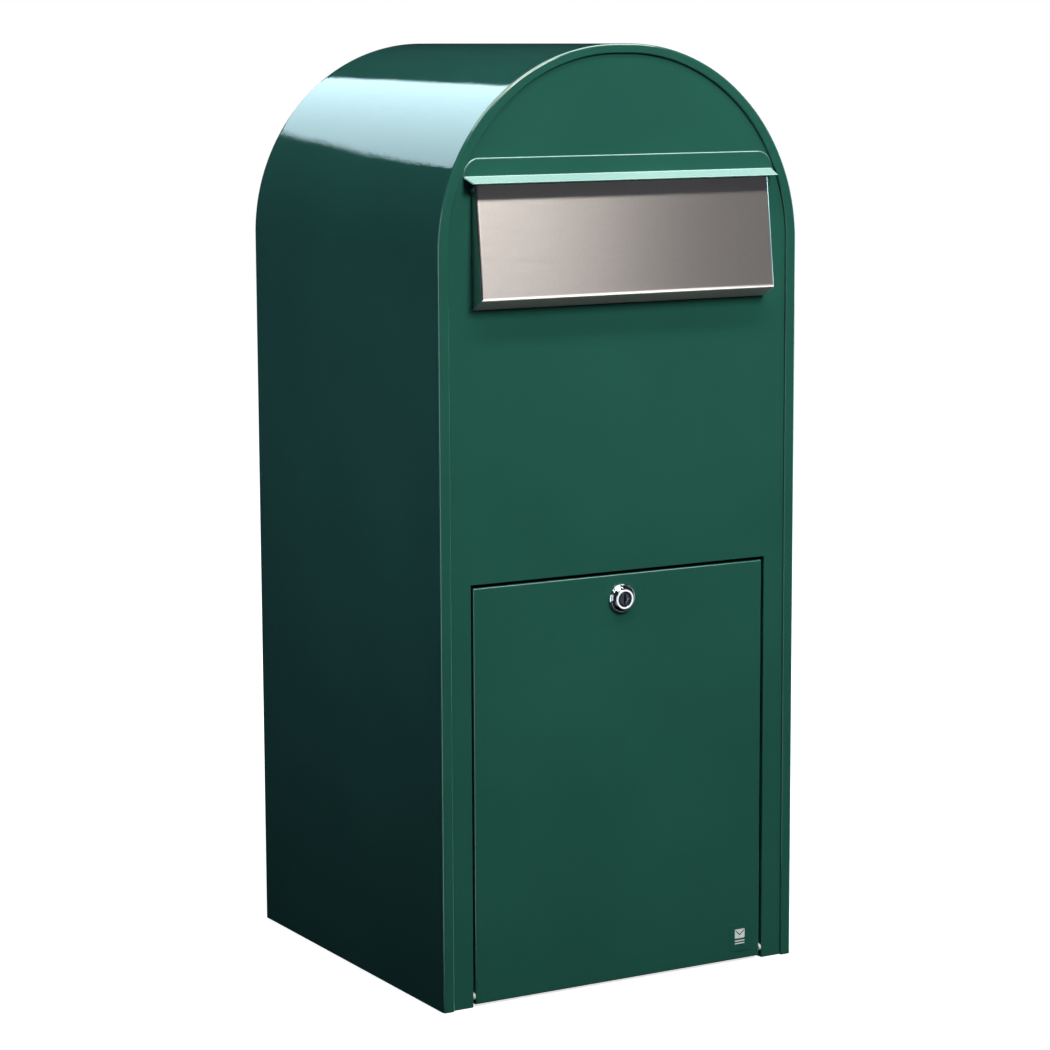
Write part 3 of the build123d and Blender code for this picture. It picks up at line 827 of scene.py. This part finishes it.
def build_lock_shutter():
    """Wire-thin bright edge of the dust shutter beside the keyway."""
    edge = KEYWAY_WIDTH / 2
    path = [(edge + SHUTTER_GAP, SHUTTER_ENDS[0])]
    for step in range(13):
        turn = math.pi * (step / 12 - 0.5)
        x = edge + SHUTTER_BOW_CENTRE[0] + SHUTTER_BOW[0] * math.cos(turn)
        path.append((x, SHUTTER_BOW_CENTRE[1] + SHUTTER_BOW[1] * math.sin(turn)))
    path.append((edge + SHUTTER_GAP, SHUTTER_ENDS[1]))
    sections = []
    for step, (x, z) in enumerate(path):
        before, after = path[max(step - 1, 0)], path[min(step + 1, len(path) - 1)]
        heading = Vector((after[0] - before[0], after[1] - before[1])).normalized()
        ring = []
        for corner in range(10):
            turn = 2 * math.pi * corner / 10
            out = SHUTTER_WIRE[0] * math.cos(turn)
            setback = PLUG_FRONT - SHUTTER_PROUD + SHUTTER_WIRE[1] * math.sin(turn)
            ring.append(at(x + heading.y * out, setback, LOCK_Z + (z - heading.x * out)))
        sections.append(ring)
    shutter = mesh_object("lock_shutter_edge", *loft(sections, closed=True, capped=True))
    return finish_piece(shutter, CHROME, "lock_cylinder", "chrome", angle=60.0)


lock_pieces = (build_lock_housing(), build_lock_plug(), build_lock_shutter())


# ---------------------------------------------------------------- badge


def build_badge():
    """Small film with a plain envelope sign and two plain lines."""
    x, z = BADGE_CENTRE
    outline = rounded_rectangle((x, z), *BADGE_SIZE, BADGE_CORNER)
    film_front = PANEL_FRONT - BADGE_THICKNESS
    film = plate("badge_film", outline, [], film_front, BADGE_THICKNESS, BADGE_EDGE_ROUND)
    finish_piece(film, BADGE_FILM, "door", "badge", "badge")

    z_sign = z + SIGN_RISE
    sign = rounded_rectangle((x, z_sign), *SIGN_SIZE, SIGN_CORNER)
    fold = [(x + dx, z_sign + dz) for dx, dz in SIGN_FOLD]
    prints = [("badge_envelope", sign, [fold])]
    for number, drop in enumerate(LINE_DROPS, 1):
        line = rounded_rectangle((x, z - drop), *LINE_SIZE, LINE_CORNER)
        prints.append((f"badge_line_{number}", line, []))
    for name, loop, holes in prints:
        piece = plate(
            name, loop, holes, film_front - PRINT_PROUD, PRINT_THICKNESS, PRINT_EDGE_ROUND
        )
        finish_piece(piece, BADGE_PRINT, "door", "badge")


build_badge()


# ---------------------------------------------------------------- studio


def emitter(name, centre, size, facing, colour, strength, corner=0.02, fade=(1.0, 1.0)):
    """Flat light panel with rounded corners, seen in reflections but not by the camera.

    fade gives the strength at its lower and upper edge as shares of the whole.
    """
    loop = rounded_rectangle((0, 0), size[0], size[1], corner)
    mesh = bpy.data.meshes.new(name)
    mesh.from_pydata([(x, 0.0, z) for x, z in loop], [], [tuple(range(len(loop)))])
    obj = new_object(name, mesh)
    obj.location = centre
    obj.rotation_euler = (Vector(facing) - Vector(centre)).to_track_quat("-Y", "Z").to_euler()
    material = bpy.data.materials.new(name)
    material.use_nodes = True
    tree = material.node_tree
    tree.nodes.clear()
    place = node(tree, "ShaderNodeTexCoord")
    axes = node(tree, "ShaderNodeSeparateXYZ")
    tree.links.new(place.outputs["Object"], axes.inputs["Vector"])
    bottom, top = (share * strength for share in fade)
    level = spread(tree, axes.outputs["Z"], bottom, top, start=-size[1] / 2, end=size[1] / 2)
    shine = set_inputs(node(tree, "ShaderNodeEmission"), Color=(*colour, 1.0))
    tree.links.new(level, shine.inputs["Strength"])
    out = node(tree, "ShaderNodeOutputMaterial")
    tree.links.new(shine.outputs["Emission"], out.inputs["Surface"])
    mesh.materials.append(material)
    obj.visible_camera = False
    obj.visible_shadow = False
    return obj


def lamp(name, kind, place, target, energy, colour, glossy):
    """Light aimed at the target; the surfaces mirror it only if glossy."""
    data = bpy.data.lights.new(name, kind)
    data.energy = energy
    data.color = colour
    obj = new_object(name, data)
    obj.location = place
    obj.rotation_euler = (Vector(target) - Vector(place)).to_track_quat("-Z", "Y").to_euler()
    obj.visible_camera = False
    obj.visible_glossy = glossy
    return obj


def area_light(name, place, target, size, energy, colour=(1, 1, 1), glossy=True):
    obj = lamp(name, "AREA", place, target, energy, colour, glossy)
    obj.data.shape = "RECTANGLE"
    obj.data.size, obj.data.size_y = size
    return obj


def spot_light(name, place, target, angle, blend, energy, colour, size=0.25, glossy=False):
    """Soft-edged cone."""
    obj = lamp(name, "SPOT", place, target, energy, colour, glossy)
    obj.data.spot_size = math.radians(angle)
    obj.data.spot_blend = blend
    obj.data.shadow_soft_size = size
    return obj


def only_for(light, *pieces, state="INCLUDE"):
    """The light reaches these pieces alone, as if flags kept it off the rest, or all but these."""
    receivers = bpy.data.collections.new(light.name + "_receivers")
    for piece in pieces:
        receivers.objects.link(piece)
    for member in receivers.collection_objects:
        member.light_linking.link_state = state
    light.light_linking.receiver_collection = receivers


def mirror_card(*pieces, **settings):
    """Emitter that shows only as a reflection, and only on these pieces."""
    card = emitter(**settings)
    card.visible_diffuse = False
    only_for(card, *pieces)


def light_flap():
    """Steep lights, strong on the left half and weak on the right, and low ones for the lower bend."""
    steep_place = (0.5, -0.96, 2.5)
    spot = spot_light(
        "flap_spot", steep_place, target=(-0.45, -0.18, 0.279), angle=19.3, blend=0.44,
        energy=1150.0, colour=(1.0, 0.96, 0.93), size=0.08, glossy=True,
    )
    wash = area_light(
        "flap_wash", steep_place, target=(0.0, -0.18, 0.66), size=(0.25, 0.25),
        energy=185.0, colour=(1.0, 0.94, 0.89),
    )
    low_card = emitter(
        "flap_card_low", (0.45, -0.55, 0.03), size=(0.95, 0.66), facing=(0.45, -0.54, 1.0),
        colour=(1.0, 0.98, 0.96), strength=3.0,
    )
    front = area_light(
        "flap_front", (0.58, -1.2, 0.05), target=(0.0, -0.19, 0.61), size=(0.9, 0.5),
        energy=2.2, colour=(1.0, 0.98, 0.96),
    )
    for light in (spot, wash, low_card, front):
        only_for(light, flap_piece)
    mirror_card(
        flap_piece, name="flap_fill", centre=(1.5, -2.6, -1.35), size=(3.0, 1.7),
        facing=(1.4, 0.0, -1.35), colour=(1.0, 0.95, 0.93), strength=0.22,
    )


def light_visor():
    """Narrow light on the visor's upper side, which nothing else shades or takes."""
    light = area_light(
        "visor_light", (0.0, -0.173, 2.2), target=(0.0, -0.173, 0.7), size=(0.9, 0.02),
        energy=740.0, colour=(1.0, 0.27, 0.36), glossy=False,
    )
    only_for(light, visor_piece)
    blockers = bpy.data.collections.new("visor_light_blockers")
    blockers.objects.link(visor_piece)
    light.light_linking.blocker_collection = blockers


def light_bends():
    """Cards that the bends of the sheet and the lock mirror."""
    mirror_card(
        shell_piece, door_piece, visor_piece, name="rim_card", centre=(0.0, -0.5, 2.9),
        size=(3.6, 1.4), facing=(0.0, -0.49, 0.0), colour=(0.93, 1.0, 1.0), strength=15.0, corner=0.05,
    )
    mirror_card(
        shell_piece, door_piece, flap_piece, name="right_card", centre=(2.6, -0.1, 0.2),
        size=(1.0, 2.4), facing=(0.0, -0.1, 0.2), colour=(0.50, 0.86, 1.0), strength=7.0, corner=0.05,
    )
    mirror_card(
        shell_piece, door_piece, *lock_pieces, name="left_card", centre=(-2.6, -1.6, 0.3),
        size=(1.0, 2.2), facing=(0.0, -0.17, 0.3), colour=(0.72, 0.94, 1.0), strength=5.0, corner=0.05,
    )
    lock_card = emitter(
        "lock_card", (1.55, -3.0, -0.12), size=(0.9, 0.5), facing=(1.5, 0.0, -0.12),
        colour=(0.96, 0.98, 1.0), strength=1.3,
    )
    only_for(lock_card, *lock_pieces)


# High softbox behind the object, mirrored on the shoulder of the arch
emitter(
    "rear_softbox", (-0.50, 2.5, 2.25), size=(1.55, 1.06), facing=(-0.50, 0.0, 2.25),
    colour=(0.66, 0.90, 1.0), strength=7.1, corner=0.14, fade=(0.6, 1.0),
)
light_flap()
light_visor()
# Strip overhead, mirrored along the upper bends
emitter(
    "top_strip", (0.0, -1.2, 2.9), size=(4.4, 0.3), facing=(0.0, -0.2, 0.7),
    colour=(0.95, 0.98, 1.0), strength=13.0, corner=0.1,
)
light_bends()
# Key from the front, high and a little to the right, kept off the flap
key = area_light("key", (0.35, -2.4, 2.35), target=(0.0, -0.17, 0.70), size=(0.9, 0.9), energy=14.2)
key.data.spread = math.radians(75)
only_for(key, flap_piece, state="EXCLUDE")
# Soft light on the upper part of the left side, and a weaker one on the right side
spot_light(
    "side_fill", (-3.0, -0.5, 1.5), target=(-0.18, -0.03, 0.65), angle=20.5, blend=0.62,
    energy=145.0, colour=(0.93, 0.72, 1.0),
)
area_light("right_fill", (3.2, 0.6, 1.2), target=(0.0, 0.0, 0.45), size=(1.8, 1.8), energy=40.0)


def build_world():
    """White to the camera, dim and bluish to everything else."""
    world = bpy.data.worlds.new("studio")
    bpy.context.scene.world = world
    world.use_nodes = True
    tree = world.node_tree
    tree.nodes.clear()
    rays = node(tree, "ShaderNodeLightPath")
    white = set_inputs(node(tree, "ShaderNodeBackground"), Color=(1, 1, 1, 1), Strength=1.0)
    dim = set_inputs(node(tree, "ShaderNodeBackground"), Color=(0.45, 0.60, 1.0, 1), Strength=0.03)
    mix = node(tree, "ShaderNodeMixShader")
    out = node(tree, "ShaderNodeOutputWorld")
    tree.links.new(rays.outputs["Is Camera Ray"], mix.inputs["Fac"])
    tree.links.new(dim.outputs["Background"], mix.inputs[1])
    tree.links.new(white.outputs["Background"], mix.inputs[2])
    tree.links.new(mix.outputs["Shader"], out.inputs["Surface"])


def build_floor(reach=12.0, z=-0.0006):
    """Pale floor that shines by itself, less so close to the mailbox, where a soft shadow shows."""
    mesh = bpy.data.meshes.new("studio_floor")
    corners = [(-reach, -reach, z), (reach, -reach, z), (reach, reach, z), (-reach, reach, z)]
    mesh.from_pydata(corners, [], [(0, 1, 2, 3)])
    floor = new_object("studio_floor", mesh)
    material = bpy.data.materials.new("studio_floor")
    material.use_nodes = True
    tree = material.node_tree
    shader = set_inputs(
        tree.nodes["Principled BSDF"], Base_Color=(0.8, 0.8, 0.8, 1.0), Roughness=0.9,
        Specular_IOR_Level=0.0, Emission_Color=(1.0, 1.0, 1.0, 1.0),
    )
    place = node(tree, "ShaderNodeTexCoord")
    distance = node(tree, "ShaderNodeVectorMath", operation="LENGTH")
    tree.links.new(place.outputs["Object"], distance.inputs[0])
    glow = spread(tree, distance.outputs["Value"], 0.75, 1.0, start=0.3, end=1.2)
    tree.links.new(glow, shader.inputs["Emission Strength"])
    mesh.materials.append(material)
    floor.visible_diffuse = False
    floor.visible_glossy = False
    floor.visible_shadow = False


build_world()
build_floor()


# ---------------------------------------------------------------- camera

CAMERA_PLACE = (-1.44744, -2.51773, 0.83437)
CAMERA_YAW = 29.8935
CAMERA_PITCH = -8.6925
CAMERA_ROLL = -0.2454
CAMERA_LENS = 109.59
CAMERA_SENSOR = 36.0


def build_camera():
    """Camera turned by its yaw and pitch, and then about its own line of sight by its roll."""
    data = bpy.data.cameras.new("camera")
    data.sensor_width = CAMERA_SENSOR
    data.lens = CAMERA_LENS
    data.dof.use_dof = False
    camera = new_object("camera", data)
    yaw, pitch, roll = (math.radians(angle) for angle in (CAMERA_YAW, CAMERA_PITCH, CAMERA_ROLL))
    ahead = Vector((math.sin(yaw) * math.cos(pitch), math.cos(yaw) * math.cos(pitch), math.sin(pitch)))
    right = ahead.cross(Vector((0, 0, 1))).normalized()
    up = right.cross(ahead)
    level_right = math.cos(roll) * right + math.sin(roll) * up
    level_up = -math.sin(roll) * right + math.cos(roll) * up
    turn = Matrix((level_right, level_up, -ahead)).transposed().to_4x4()
    camera.matrix_world = Matrix.Translation(CAMERA_PLACE) @ turn
    return camera


bpy.context.scene.camera = build_camera()

bpy.context.scene.view_settings.view_transform = "Standard"
bpy.context.scene.view_settings.look = "None"
bpy.context.scene.cycles.use_denoising = True
